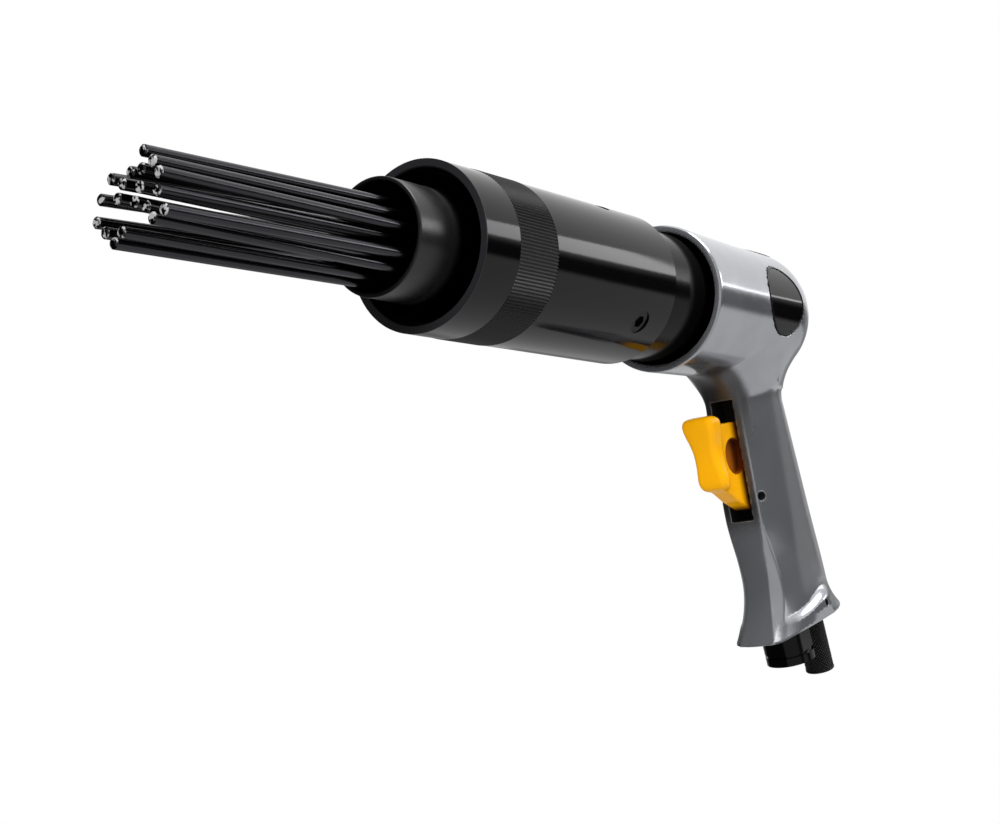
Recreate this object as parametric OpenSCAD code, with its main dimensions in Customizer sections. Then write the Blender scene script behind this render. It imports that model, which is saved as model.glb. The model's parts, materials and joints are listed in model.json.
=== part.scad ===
// Pistol-grip needle scaler driven by compressed air.
// X runs forward along the barrel, Y to the tool's left, Z up. Millimetres.
// The origin is on the barrel axis, in the plane of the front collar's rim.

/* [Needles] */
// Diameter of a needle
needle_d = 3; // [2:0.5:4]
// Length of a needle with its head
needle_len = 180; // [150:5:200]
// Distance of the needle tips ahead of the collar's rim
needle_reach = 104; // [90:1:115]
// Spacing of the needle holes in the holder
needle_pitch = 5.9; // [5.6:0.1:6.2]
// Diameter of a needle's head
needle_head_d = 4.8; // [4.2:0.2:5.2]
// Length of a needle's head
needle_head_len = 4; // [3:0.5:6]
// Free travel of a needle between holder and anvil
needle_play = 3; // [2:0.5:4]

/* [Striker] */
// Thickness of the holder's drilled plate
holder_plate = 10; // [8:1:12]
// Thickness of the anvil's disc
anvil_disc = 10; // [8:1:12]
// Diameter of the anvil's shank
anvil_shank_d = 12; // [10:1:16]
// Diameter of the piston
piston_d = 19; // [16:1:22]
// Length of the piston
piston_len = 32; // [25:1:36]
// Free travel of the piston
piston_travel = 33; // [28:1:36]
// Wire of the return spring
return_wire_d = 3; // [2:0.2:3.2]
// Turns of the return spring
return_turns = 8; // [6:1:9]

/* [Front tubes] */
// Length of the front collar
collar_len = 34; // [32:1:40]
// Length of the plain band ahead of the knurl
collar_band = 15.5; // [12:0.5:18]
// Length of the rear sleeve
sleeve_len = 67; // [62:1:74]
// Wall of the sleeve round the barrel's skirt
sleeve_wall = 2.8; // [2.5:0.1:4]
// Wall of the barrel's skirt
skirt_wall = 2.2; // [2:0.1:3]
// Rim of the needle holder round the needle heads
holder_wall = 4.8; // [4:0.1:6]
// Wall of the nozzle
nozzle_wall = 1.3; // [1:0.1:2]
// Room between the outer needles and the nozzle's hole
nozzle_room = 2.2; // [2:0.1:3]
// How far the nozzle stands out of the collar
nozzle_reach = 18.4; // [12:0.2:24]
// Diameter of the two set screws in the sleeve
set_screw_d = 8; // [6:0.5:9]

/* [Head] */
// Bare length of the barrel between sleeve and housing
neck_len = 26.5; // [22:0.5:32]
// Straight length of the head ahead of its domed end
head_straight = 61; // [58:1:66]
// Gap of the exhaust mouth round the barrel's neck
exhaust_gap = 2.5; // [2:0.1:3.5]
// Wall of the exhaust mouth at its lip
mouth_wall = 2.6; // [2.2:0.1:4]
// Depth of the exhaust mouth
mouth_depth = 13.5; // [10:0.5:16]
// Diameter of the round cap on top of the head
cap_d = 25; // [20:1:28]

/* [Handle] */
// Lean of the handle from upright, in degrees
handle_tilt = 10; // [6:1:14]
// Further lean of the handle's foot and its fittings, in degrees
foot_tilt = 6; // [0:1:8]
// Distance of the handle's foot below the barrel axis
handle_len = 120; // [116:1:126]
// Width of the handle
handle_w = 27; // [26:0.5:32]
// Depth of the handle below the head
handle_depth = 31; // [30:0.5:34]
// Width of the trigger slot
slot_w = 8.6; // [8:0.2:9]
// Width of the trigger's finger pad
pad_w = 12; // [10:0.5:14]
// Diameter of the trigger pin
trigger_pin_d = 3; // [2.5:0.1:3.2]

/* [Air inlet] */
// Diameter of the inlet bushing
inlet_d = 18; // [16:0.5:19]
// Length of the inlet bushing below the handle
inlet_drop = 13; // [10:0.5:14]
// Core diameter of the inlet thread
inlet_thread_d = 11.445; // [10:0.005:12]
// Depth of the inlet thread
inlet_thread_len = 14; // [10:1:16]
// Diameter of the regulator knob
knob_d = 11; // [9:0.5:13]
// Length of the regulator knob
knob_len = 23.5; // [14:0.5:26]

/* [Hidden] */
$fn = 64;
// Radial clearance of a running fit
run = 0.05;
// Gap between a loose piece and its seat
seat = 0.3;
// Overcut of holes past a face
eps = 1;

// Radii, built outwards from the needle bundle
bundle_r = 2 * needle_pitch + needle_head_d / 2 + 1;
guide_r = bundle_r + holder_wall;
skirt_r = guide_r + skirt_wall;
tube_r = skirt_r + sleeve_wall;
neck_r = skirt_r - 1.7;
mouth_lip = 1;
mouth_r = neck_r + exhaust_gap;
head_r = mouth_r + mouth_wall - mouth_lip;
head_d = 2 * head_r;
nozzle_hole_r = 2 * needle_pitch + needle_d / 2 + nozzle_room;
nozzle_r = nozzle_hole_r + nozzle_wall;

// Places along the barrel axis, from the rim backwards
lip_front = -8;
lip_len = 10;
lip_back = lip_front - lip_len;
sleeve_front = -collar_len;
sleeve_back = sleeve_front - sleeve_len;
mouth_x = sleeve_back - neck_len;
mouth_floor = mouth_x - mouth_depth;
dome_x = mouth_x - head_straight;
needle_back = needle_reach - needle_len;
plate_back = needle_back + needle_head_len + 2 * seat;
plate_front = plate_back + holder_plate;
anvil_front = needle_back - needle_play - 2 * seat;
anvil_back = anvil_front - anvil_disc;
skirt_floor = anvil_back - seat;
skirt_front = plate_back + 2;
anvil_tail = anvil_back - 28.3;
guide_back = anvil_tail + 2;
piston_front = anvil_tail - eps - piston_travel;
piston_back = piston_front - piston_len;
barrel_back = piston_back - 2;
thread_back = mouth_floor - 24;
valve_plate_len = 2.4;
valve_len = 14;
valve_front = barrel_back - valve_plate_len;
valve_back = valve_front - valve_len;
valve_play = 0.4;
disc_len = 1.6;

// Wall features shared by neighbours
spigot_r = guide_r + 2.4;
lip_r = guide_r - 0.7;
recess_r = tube_r - 2.7;
inner_recess_r = recess_r - 1;
barrel_thread_r = neck_r - 0.5;
valve_r = barrel_thread_r - 3.6;
disc_r = valve_r - 7.7;
neck_bend = 13;
neck_turn = acos(1 - (skirt_r - neck_r) / neck_bend);
knurl_count = 150;
knurl_rise = 0.15;
knurl_depth = 0.35;
set_screw_x = [-85, -77.5];
set_screw_angle = [-41, 62];
cap_x = dome_x - 1.5;
cap_seat_r = head_r - 1.5;
cap_top_r = head_r + 0.2;
label_x = dome_x + 11;
label_z = 1;
label_seat_r = head_r - 0.6;
label_top_r = head_r + 0.3;
label_r = 12.8;

// Handle measures: t is forward of the handle's axis line, s is down along it
handle_x = -160;
front_t = 0.7;
front_crown = 1.7;
crease_w = 14.2;
slot_top = 34;
slot_bottom = 78;
slot_floor = -9;
panel_top = 32;
panel_step = 0.7;
panel_gap = 0.01;
front_fillet = 13;
side_fillet = 16;
back_fillet = 8;
waist_top = slot_bottom - 2;
waist_bottom = handle_len - 20;
waist_dip = 2.4;
foot_front = 8;
foot_back = 8;
foot_side = 3;
foot_crease = 0.6;
foot_lip_draw = 1;
foot_lip = 4.5;
foot_lip_fillet = 4.5;
back_slope = 0.16;
foot_top = handle_len - 14;
foot_over = 4;

pin_t = -2.6;
pin_s = 70;
web_w = slot_w - 2;
web_back = -4;
throttle_s = 54;
bush_len = 5.5;
bush_d = 7.6;
stem_d = 3;
stem_head_d = 6.4;
stem_head_len = 2;
throttle_spring_len = 8;
throttle_wire_d = 0.8;
throttle_turns = 5;
throttle_back = slot_floor - bush_len - 2 * seat - 0.6 - stem_head_len - throttle_spring_len - seat;
air_t = -19;
air_d = 9;
upper_air_t = -12;
upper_air_d = 4.6;
inlet_t = -15.5;
inlet_shank_d = 14.8;
inlet_shank_len = 14;
washer_len = 1;
strainer_len = 6;
knob_x = -20.5;
knob_stem_d = 6.4;
knob_stem_len = 13;
knob_gap = 0.8;
knob_groove = 1.2;
foot_pin_d = 2.4;
foot_pin_reach = 0.27 * handle_w;
inlet_groove = 0.9;
inlet_pin_x = -(inlet_shank_d / 2 - inlet_groove + foot_pin_d / 2 + 2 * run);
inlet_pin_z = 5.5;
knob_pin_x = knob_x + knob_stem_d / 2 - knob_groove + foot_pin_d / 2 + 2 * run;
knob_pin_z = 5;
knob_seal_z = 9;
knob_seal_len = 1.4;

// Sideways and upward stray of each needle's tip from its hole, row by row from the top
tip_stray = [
    [0, -8], [1, -8], [0, -4],
    [-1, -7], [1, -5], [2, -3], [0, -2],
    [0, -7], [2, -3], [4, -2], [4, -4], [-1, 0],
    [0, -5], [5, 0], [3, -2], [3, -4],
    [0, -3], [-3, -1], [2, 0]
];

// Hexagonal rows of holes, from the top row down
holes = [
    for (row = [2 : -1 : -2])
        for (q = [-2 : 2])
            if (abs(q + row) <= 2)
                needle_pitch * [q + row / 2, row * sqrt(3) / 2]
];

// Turns a profile of [radius, x] points about the barrel axis
module spun(profile) {
    rotate([0, 90, 0]) rotate_extrude($fn = 96) polygon(profile);
}

// A plain ring on the barrel axis from x0 back to x1
module ring(r_out, r_in, x0, x1) {
    spun([[r_in, x0], [r_out, x0], [r_out, x1], [r_in, x1]]);
}

// A round bar on the barrel axis from x0 back to x1
module bar(r, x0, x1) {
    translate([x1, 0, 0]) rotate([0, 90, 0]) cylinder(r = r, h = x0 - x1);
}

// Places children in the handle's frame, where x is t and z is minus s
module on_handle() {
    translate([handle_x, 0, 0]) rotate([0, handle_tilt, 0]) children();
}

// A round bar along the handle from s0 down to s1
module handle_bar(d, t, s0, s1) {
    on_handle() translate([t, 0, -s1]) cylinder(d = d, h = s1 - s0);
}

// Places children in the foot's frame: on the inlet's axis, with z = 0 in the foot's face
module on_foot() {
    on_handle() translate([inlet_t, 0, -handle_len]) rotate([0, foot_tilt, 0]) children();
}

// A round bar square to the foot's face, x forward of the inlet, from z1 up to z0
module foot_bar(d, x, z0, z1) {
    on_foot() translate([x, 0, z1]) cylinder(d = d, h = z0 - z1);
}

// A round bar across the handle's width near its foot
module foot_cross(d, x, z, y0, y1) {
    on_foot() translate([x, y1, z]) rotate([90, 0, 0]) cylinder(d = d, h = y1 - y0);
}

// A round bar across the handle's depth, from t0 back to t1
module depth_bar(d, s, t0, t1) {
    on_handle() translate([t1, 0, -s]) rotate([0, 90, 0]) cylinder(d = d, h = t0 - t1);
}

// A round bar across the handle's width
module cross_bar(d, t, s, w) {
    on_handle() translate([t, 0, -s]) rotate([90, 0, 0]) cylinder(d = d, h = w, center = true);
}

// Points of an arc from angle a to angle b
function arc(c, r, a, b, n = 8) = [
    for (i = [0 : n])
        let (turn = a + (b - a) * i / n)
            c + r * [cos(turn), sin(turn)]
];

// Rise of a fillet arc at depth d into it
function rise(d, r) = d <= 0 ? 0 : r - sqrt(r * r - min(d, r) * min(d, r));

// Smooth step from 0 to 1 between a and b
function ease(s, a, b) = s <= a ? 0 : s >= b ? 1 : (1 - cos(180 * (s - a) / (b - a))) / 2;

// Square of the way from a to the handle's foot
function flare(s, a) = s <= a ? 0 : pow((s - a) / (handle_len - a), 2);

function front_at(s) = front_t + rise(slot_top + 2 - s, front_fillet)
    - waist_dip * ease(s, waist_top, waist_bottom) + foot_front * flare(s, waist_bottom);
function back_at(s) = -handle_depth - back_slope * (s - slot_top) - rise(slot_top - s, back_fillet)
    - foot_back * flare(s, foot_top);
// Height above the foot's face, the lip's reach to the side there, and the softer flare at the back
function foot_up(s, t) = (t - inlet_t) * sin(foot_tilt) + (handle_len - s) * cos(foot_tilt);
function lip_at(up) = foot_side * (1 - ease(up, foot_lip, foot_lip + foot_lip_fillet))
    - foot_lip_draw * (1 - ease(up, -1, foot_lip));
function half_at(s, t, soft = 0) = handle_w / 2 + rise(slot_top + 2 - s, side_fillet)
    + (s < panel_top ? panel_step : 0)
    + (1 - soft) * lip_at(foot_up(s, t)) + soft * foot_side * flare(s, foot_top);
function crease_at(s) = crease_w / 2 + rise(slot_top + 2 - s, side_fillet) / 2
    + foot_crease * flare(s, waist_bottom);

// Half outline of the handle at s: crowned front, flat side, round back
function half_ring(s) = let (
    front = front_at(s), back = back_at(s), crease = crease_at(s),
    corner = front - front_crown, widest = front - 0.58 * (front - back)
) concat(
    [for (i = [0 : 4]) [front - front_crown * pow(i / 4, 2), crease * i / 4]],
    [for (i = [1 : 4]) let (t = corner + (widest - corner) * i / 4)
        [t, crease + (half_at(s, t) - crease) * sin(75 * i / 4) / sin(75)]],
    [for (i = [1 : 8]) let (soft = sin(90 * i / 8), t = widest + (back - widest) * soft)
        [t, half_at(s, t, soft) * cos(90 * i / 8)]]
);

// Closed outline of the handle at s, as points in the handle's frame
function full_ring(s) = let (h = half_ring(s), n = len(h)) concat(
    [for (i = [0 : n - 1]) [h[i][0], -h[i][1], -s]],
    [for (i = [n - 2 : -1 : 1]) [h[i][0], h[i][1], -s]]
);

// Solid between rings of points, each with the same count, closed at both ends
module loft(rings) {
    n = len(rings[0]);
    m = len(rings);
    polyhedron(
        points = [for (r = rings) each r],
        faces = concat(
            [[for (i = [0 : n - 1]) i]],
            [for (k = [0 : m - 2]) for (i = [0 : n - 1]) each let (
                a = k * n + i, b = k * n + (i + 1) % n
            ) [[a, a + n, b], [b, a + n, b + n]]],
            [[for (i = [n - 1 : -1 : 0]) (m - 1) * n + i]]
        )
    );
}

// One unbroken helical wire along +Z
module helix(coil_r, wire_d, length, turns) {
    steps = 8 * turns;
    sides = 6;
    lead = length - wire_d;
    echo("least gap between turns", lead / turns - wire_d);
    loft([for (i = [0 : steps]) let (a = 360 * i / 8) [
        for (j = [0 : sides - 1]) let (b = -360 * j / sides, r = coil_r + wire_d / 2 * cos(b)) [
            r * cos(a), r * sin(a), wire_d / 2 + lead * i / steps + wire_d / 2 * sin(b)
        ]
    ]]);
}

// Places down the handle where its outline is given
handle_stations = concat(
    [for (i = [0 : 5]) head_r - 3 + (panel_top - head_r + 3) * i / 5 - panel_gap],
    [panel_top, slot_top + 2, throttle_s, waist_top],
    [for (i = [1 : 4]) waist_top + (waist_bottom - waist_top) * i / 4],
    [for (i = [0 : 10]) foot_top + (handle_len + foot_over - foot_top) * i / 10]
);

module housing() {
    color([0.5, 0.51, 0.54])
    difference() {
        union() {
            spun(concat(
                [[0, mouth_x]],
                arc([head_r + mouth_lip - 1.2, mouth_x - 1.2], 1.2, 90, 0, 5),
                [[head_r + mouth_lip, mouth_x - 2], [head_r, mouth_x - 9]],
                [for (p = arc([0, dome_x], head_r, 0, -90, 14)) [max(p[0], 0), p[1]]]
            ));
            on_handle() loft([for (s = handle_stations) full_ring(s)]);
        }
        bar(mouth_r, mouth_x + eps, mouth_floor);
        bar(barrel_thread_r, mouth_floor + eps, thread_back);
        bar(valve_r + run, thread_back + eps, valve_back - seat);
        on_handle() translate([slot_floor, -slot_w / 2, -slot_bottom])
            cube([20, slot_w, slot_bottom - slot_top]);
        cross_bar(trigger_pin_d, pin_t, pin_s, head_d);
        depth_bar(bush_d, throttle_s, slot_floor + eps, throttle_back);
        handle_bar(air_d, air_t, throttle_s, handle_len - inlet_shank_len);
        handle_bar(upper_air_d, upper_air_t, 14, throttle_s);
        foot_bar(inlet_shank_d, 0, inlet_shank_len + strainer_len + seat, -eps);
        foot_bar(knob_stem_d + 2 * run, knob_x, knob_stem_len + seat, -eps);
        foot_cross(foot_pin_d, knob_pin_x, knob_pin_z, -head_d, foot_pin_reach);
        foot_cross(foot_pin_d, inlet_pin_x, inlet_pin_z, -foot_pin_reach, head_d);
        on_foot() translate([-head_d, -head_d, -head_d]) cube([2 * head_d, 2 * head_d, head_d]);
        cap_form(cap_seat_r, head_r + eps, 0);
        label_form(label_seat_r, head_r + eps, 0);
    }
}

// The head's outer form at radius r
module head_form(r) {
    bar(r, mouth_floor, dome_x);
    translate([dome_x, 0, 0]) sphere(r = r);
}

// Round piece of the head's skin on its top
module cap_form(r0, r1, inset) {
    intersection() {
        difference() {
            head_form(r1);
            head_form(r0);
        }
        translate([cap_x, 0, 0]) cylinder(d = cap_d - 2 * inset, h = head_d);
    }
}

// Round piece of a tube on the head's left side
module label_form(r0, r1, inset) {
    intersection() {
        ring(r1, r0, label_x + 2 * label_r, label_x - 2 * label_r);
        translate([label_x, 0, label_z]) rotate([-90, 0, 0]) cylinder(r = label_r - inset, h = head_d);
    }
}

module label_plate() {
    color([0.05, 0.05, 0.06]) label_form(label_seat_r, label_top_r, run);
}

module barrel() {
    color([0.1, 0.1, 0.11])
    difference() {
        spun(concat(
            [[0, skirt_front], [skirt_r, skirt_front]],
            arc([neck_r + neck_bend, mouth_x - 1], neck_bend, 180 - neck_turn, 180, 6),
            [
                [neck_r, mouth_floor], [barrel_thread_r - run, mouth_floor],
                [barrel_thread_r - run, thread_back + 1], [valve_r, thread_back + 1],
                [valve_r, barrel_back], [0, barrel_back]
            ]
        ));
        bar(guide_r, skirt_front + eps, skirt_floor);
        bar(anvil_shank_d / 2 + run, skirt_floor + eps, guide_back);
        bar(piston_d / 2 + run, guide_back, barrel_back - eps);
        for (a = [45 : 90 : 315])
            translate([mouth_floor + 5, 0, 0]) rotate([a, 0, 0]) cylinder(d = 5, h = head_r);
    }
}

module barrel_gasket() {
    color([0.15, 0.15, 0.15]) ring(barrel_thread_r - seat, valve_r + seat, thread_back + 1, thread_back);
}

module valve_plate() {
    color([0.6, 0.6, 0.62]) ring(valve_r, 4, barrel_back, valve_front);
}

module valve_body() {
    color([0.55, 0.55, 0.57])
    difference() {
        bar(valve_r, valve_front, valve_back);
        bar(disc_r + seat, valve_front + eps, valve_front - disc_len - seat - valve_play - 2 * run);
        for (a = [0 : 60 : 300])
            rotate([a, 0, 0]) translate([0, 0, disc_r - 2.7]) bar(1.5, valve_front, valve_back - eps);
    }
}

module valve_disc() {
    color([0.7, 0.7, 0.72]) bar(disc_r, valve_front - seat, valve_front - seat - disc_len);
}

module piston() {
    color([0.62, 0.62, 0.64])
    spun([
        [0, piston_front], [piston_d / 2 - 1, piston_front], [piston_d / 2, piston_front - 1],
        [piston_d / 2, piston_back + 1], [piston_d / 2 - 1, piston_back], [0, piston_back]
    ]);
}

module anvil() {
    color([0.5, 0.5, 0.52])
    spun([
        [0, anvil_front], [guide_r - 4 * run, anvil_front], [guide_r - 4 * run, anvil_back],
        [anvil_shank_d / 2, anvil_back], [anvil_shank_d / 2, anvil_tail + 1],
        [anvil_shank_d / 2 - 1, anvil_tail], [0, anvil_tail]
    ]);
}

module needle_holder() {
    color([0.3, 0.3, 0.32])
    difference() {
        bar(guide_r - 2 * run, plate_front, anvil_front);
        bar(bundle_r, plate_back, anvil_front - eps);
        for (h = holes)
            translate([0, h[0], h[1]]) bar(needle_d / 2 + 0.35, plate_front + eps, plate_back - eps);
    }
}

module return_spring() {
    color([0.45, 0.45, 0.47])
    translate([plate_front + seat, 0, 0]) rotate([0, 90, 0]) helix(
        guide_r - 1 - return_wire_d / 2, return_wire_d, lip_back - plate_front - 2 * seat, return_turns
    );
}

// A needle along +Z with its head's back at the origin
module needle_form() {
    r = needle_d / 2;
    hr = needle_head_d / 2;
    rotate_extrude($fn = 32) polygon([
        [0, 0], [hr, 0], [hr, needle_head_len - (hr - r)], [r, needle_head_len],
        [r, needle_len - 0.4], [r - 0.4, needle_len], [0, needle_len]
    ]);
}

// Needle number k, which leans about the middle of its hole in the holder
module needle(k) {
    h = holes[k];
    stray = tip_stray[k];
    mid = plate_back + holder_plate / 2;
    turn = atan2(stray[0], needle_reach - mid);
    dip = atan2(stray[1], norm([needle_reach - mid, stray[0]]));
    color([0.16, 0.16, 0.17])
    translate([mid, h[0], h[1]]) rotate([0, 90 - dip, turn]) translate([0, 0, needle_back - mid])
        needle_form();
}

module rear_sleeve() {
    color([0.08, 0.08, 0.09])
    difference() {
        spun([
            [guide_r, lip_back], [spigot_r, lip_back], [spigot_r, sleeve_front], [tube_r, sleeve_front],
            [tube_r, sleeve_back + 1.5], [tube_r - 1, sleeve_back], [skirt_r + run, sleeve_back],
            [skirt_r + run, skirt_front], [guide_r, skirt_front]
        ]);
        for (i = [0 : 1]) set_screw_place(i) cylinder(d = set_screw_d, h = tube_r);
    }
}

// Places children on a set screw's axis, with z out of the sleeve
module set_screw_place(i) {
    translate([set_screw_x[i], 0, 0]) rotate([set_screw_angle[i] - 90, 0, 0]) children();
}

module set_screws() {
    color([0.05, 0.05, 0.06])
    for (i = [0 : 1]) set_screw_place(i) translate([0, 0, skirt_r + run]) difference() {
        cylinder(d = set_screw_d - 2 * run, h = tube_r - skirt_r - 0.6);
        translate([0, 0, 0.8]) cylinder(d = set_screw_d * 0.55, h = tube_r, $fn = 6);
    }
}

module front_collar() {
    root_r = tube_r + knurl_rise - knurl_depth;
    color([0.08, 0.08, 0.09]) {
        spun([
            [recess_r + 0.6, 0], [tube_r, 0], [tube_r, -collar_band], [root_r - eps, -collar_band],
            [root_r - eps, sleeve_front], [spigot_r + run, sleeve_front], [spigot_r + run, lip_back],
            [lip_r, lip_back], [lip_r, lip_front], [inner_recess_r, lip_front],
            [inner_recess_r, lip_front + 3.5], [recess_r, lip_front + 3.5], [recess_r, -0.6]
        ]);
        translate([sleeve_front, 0, 0]) rotate([0, 90, 0])
        linear_extrude(collar_len - collar_band) difference() {
            polygon([for (i = [0 : 2 * knurl_count - 1]) let (
                r = tube_r + knurl_rise - (i % 2) * knurl_depth, a = 180 * i / knurl_count
            ) [r * cos(a), r * sin(a)]]);
            circle(r = root_r - 1.5 * eps);
        }
    }
}

module nozzle() {
    edge = 0.6;
    flare_r = inner_recess_r - 0.5;
    bend = 2 * (flare_r - nozzle_r);
    color([0.08, 0.08, 0.09])
    spun(concat(
        [[nozzle_hole_r, nozzle_reach - edge], [nozzle_hole_r + edge / 2, nozzle_reach]],
        arc([nozzle_r - edge, nozzle_reach - edge], edge, 90, 0, 4),
        arc([nozzle_r + bend, lip_front + 2 + bend], bend, 180, 240, 8),
        [
            [flare_r, lip_front + 1.6], [flare_r, lip_front], [lip_r - run, lip_front],
            [lip_r - run, lip_back], [nozzle_hole_r, lip_back]
        ]
    ));
}

module top_cap() {
    color([0.1, 0.1, 0.11]) cap_form(cap_seat_r, cap_top_r, run);
}

// Rounds a closed outline by cutting its corners
function corner_cut(p, times) = times == 0 ? p : corner_cut([
    for (i = [0 : len(p) - 1])
        let (q = p[(i + 1) % len(p)])
            each [0.75 * p[i] + 0.25 * q, 0.25 * p[i] + 0.75 * q]
], times - 1);

// Side outline of the trigger's web in t and minus s, with a round boss on the pin
module web_outline() {
    boss_r = 4.2;
    polygon(concat(
        [[web_back, -42], [14, -41.4], [15, -52], [14.5, -63.5], [13, -65.4], [6.5, -69.8]],
        arc([pin_t, -pin_s], boss_r, -50, -220, 14),
        [[web_back, -63]]
    ));
}

// Side outline of the finger pad, with a hollow front
module pad_side() {
    polygon(corner_cut([
        [12.6, -40.6], [14, -38], [17.5, -37], [20.6, -37.6], [21.7, -40], [21.2, -43], [20.2, -47],
        [19.2, -52], [18.5, -57], [18.2, -60.5], [17.6, -63], [15.8, -65], [13.4, -64.8], [12.2, -62.5]
    ], 2));
}

// Half outline of the finger pad seen from the front, waisted
function pad_half(w) = [
    [w - 1.6, -36.8], [w + 0.3, -39], [w + 0.2, -43], [w - 1, -48], [w - 1.3, -52], [w - 0.8, -57],
    [w - 0.2, -61], [w - 0.9, -64.6], [w - 3, -65.6]
];

module pad_front() {
    h = pad_half(pad_w / 2);
    polygon(corner_cut(concat(h, [for (i = [len(h) - 1 : -1 : 0]) [-h[i][0], h[i][1]]]), 2));
}

module trigger() {
    pocket_d = 13;
    pocket_t = 3;
    pocket_depth = 2.4;
    color([1, 0.68, 0.02])
    on_handle() difference() {
        union() {
            rotate([90, 0, 0]) linear_extrude(web_w, center = true) web_outline();
            intersection() {
                rotate([90, 0, 0]) linear_extrude(2 * pad_w, center = true) pad_side();
                rotate([90, 0, 90]) linear_extrude(pad_w * 3) pad_front();
            }
        }
        translate([pin_t, 0, -pin_s]) rotate([90, 0, 0])
            cylinder(d = trigger_pin_d + 2 * run, h = slot_w + eps, center = true);
        for (side = [-1, 1]) translate([pocket_t, side * web_w / 2, -throttle_s]) rotate([90, 0, 0])
            cylinder(d = pocket_d, h = 2 * pocket_depth, center = true);
    }
}

module trigger_pin() {
    color([0.3, 0.3, 0.32]) cross_bar(trigger_pin_d, pin_t, pin_s, crease_w - 3);
}

module throttle_bush() {
    color([0.75, 0.62, 0.3])
    difference() {
        depth_bar(bush_d, throttle_s, slot_floor, slot_floor - bush_len);
        depth_bar(stem_d + 2 * run, throttle_s, slot_floor + eps, slot_floor - bush_len - eps);
        depth_bar(stem_d + 2, throttle_s, slot_floor - 2, slot_floor - bush_len - eps);
        handle_bar(2, upper_air_t, throttle_s - bush_d, throttle_s);
    }
}

module throttle_stem() {
    head_front = slot_floor - bush_len - 2 * seat - 0.6;
    color([0.7, 0.7, 0.72]) {
        depth_bar(stem_d, throttle_s, web_back - seat, head_front);
        depth_bar(stem_head_d, throttle_s, head_front, head_front - stem_head_len);
    }
}

module throttle_washer() {
    back = slot_floor - bush_len - seat;
    color([0.1, 0.1, 0.1])
    difference() {
        depth_bar(stem_head_d, throttle_s, back, back - 0.6);
        depth_bar(stem_d + 2 * run, throttle_s, back + eps, back - 0.6 - eps);
    }
}

module throttle_spring() {
    color([0.7, 0.7, 0.72])
    on_handle() translate([throttle_back + seat / 2, 0, -throttle_s]) rotate([0, 90, 0]) helix(
        stem_head_d / 2 - throttle_wire_d / 2, throttle_wire_d, throttle_spring_len, throttle_turns
    );
}

module inlet_bushing() {
    flat_w = inlet_d - 2;
    groove = 0.8;
    ring_len = 3;
    groove_len = 1;
    color([0.06, 0.06, 0.07])
    difference() {
        union() {
            foot_bar(inlet_shank_d, 0, inlet_shank_len, -washer_len);
            intersection() {
                foot_bar(inlet_d, 0, -washer_len, ring_len + groove_len - inlet_drop);
                on_foot() cube([inlet_d, flat_w, 2 * inlet_drop], center = true);
            }
            foot_bar(inlet_d - 2 * groove, 0, ring_len + groove_len - inlet_drop, ring_len - inlet_drop);
            foot_bar(inlet_d, 0, ring_len - inlet_drop, -inlet_drop);
        }
        foot_bar(inlet_thread_d, 0, inlet_thread_len - inlet_drop, -inlet_drop - eps);
        foot_bar(air_d, 0, inlet_shank_len + eps, -inlet_drop);
        pin_groove(inlet_shank_d, inlet_groove, 0, inlet_pin_z, foot_pin_d);
    }
}

// Lock pin that lies in the bushing's groove
module inlet_pin() {
    color([0.3, 0.3, 0.32])
    foot_cross(foot_pin_d, inlet_pin_x, inlet_pin_z, -foot_pin_reach, foot_pin_reach);
}

module inlet_washer() {
    color([0.12, 0.12, 0.12])
    difference() {
        foot_bar(inlet_d, 0, 0, -washer_len);
        foot_bar(inlet_shank_d + 2 * run, 0, eps, -washer_len - eps);
    }
}

module inlet_strainer() {
    wall = 1;
    hole_d = 2;
    color([0.75, 0.65, 0.4])
    difference() {
        foot_bar(inlet_shank_d - 2 * run, 0, inlet_shank_len + strainer_len, inlet_shank_len);
        foot_bar(inlet_shank_d - 2 * wall, 0, inlet_shank_len + strainer_len - wall, inlet_shank_len - eps);
        for (a = [0 : 60 : 300])
            on_foot() rotate([0, 0, a]) translate([inlet_shank_d / 4, 0, inlet_shank_len])
                cylinder(d = hole_d, h = strainer_len + eps);
    }
}

module regulator() {
    color([0.06, 0.06, 0.07])
    difference() {
        union() {
            foot_bar(knob_stem_d, knob_x, knob_stem_len, -knob_gap);
            foot_bar(knob_d, knob_x, -knob_gap, -knob_gap - knob_len);
        }
        pin_groove(knob_stem_d, knob_groove, knob_x, knob_pin_z, foot_pin_d);
        pin_groove(knob_stem_d, knob_groove, knob_x, knob_seal_z + knob_seal_len / 2, knob_seal_len);
    }
}

// Square groove of depth deep round a stem on the foot, with play for what lies in it
module pin_groove(stem_d, deep, x, z, width) {
    z0 = z + width / 2 + 2 * run;
    z1 = z - width / 2 - 2 * run;
    difference() {
        foot_bar(stem_d + eps, x, z0, z1);
        foot_bar(stem_d - 2 * deep, x, z0 + eps, z1 - eps);
    }
}

module regulator_seal() {
    color([0.12, 0.12, 0.12])
    difference() {
        foot_bar(knob_stem_d - 2 * run, knob_x, knob_seal_z + knob_seal_len, knob_seal_z);
        foot_bar(
            knob_stem_d - 2 * knob_groove + 2 * run, knob_x,
            knob_seal_z + knob_seal_len + eps, knob_seal_z - eps
        );
    }
}

module regulator_pin() {
    color([0.3, 0.3, 0.32]) foot_cross(foot_pin_d, knob_pin_x, knob_pin_z, -foot_pin_reach, foot_pin_reach);
}

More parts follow.
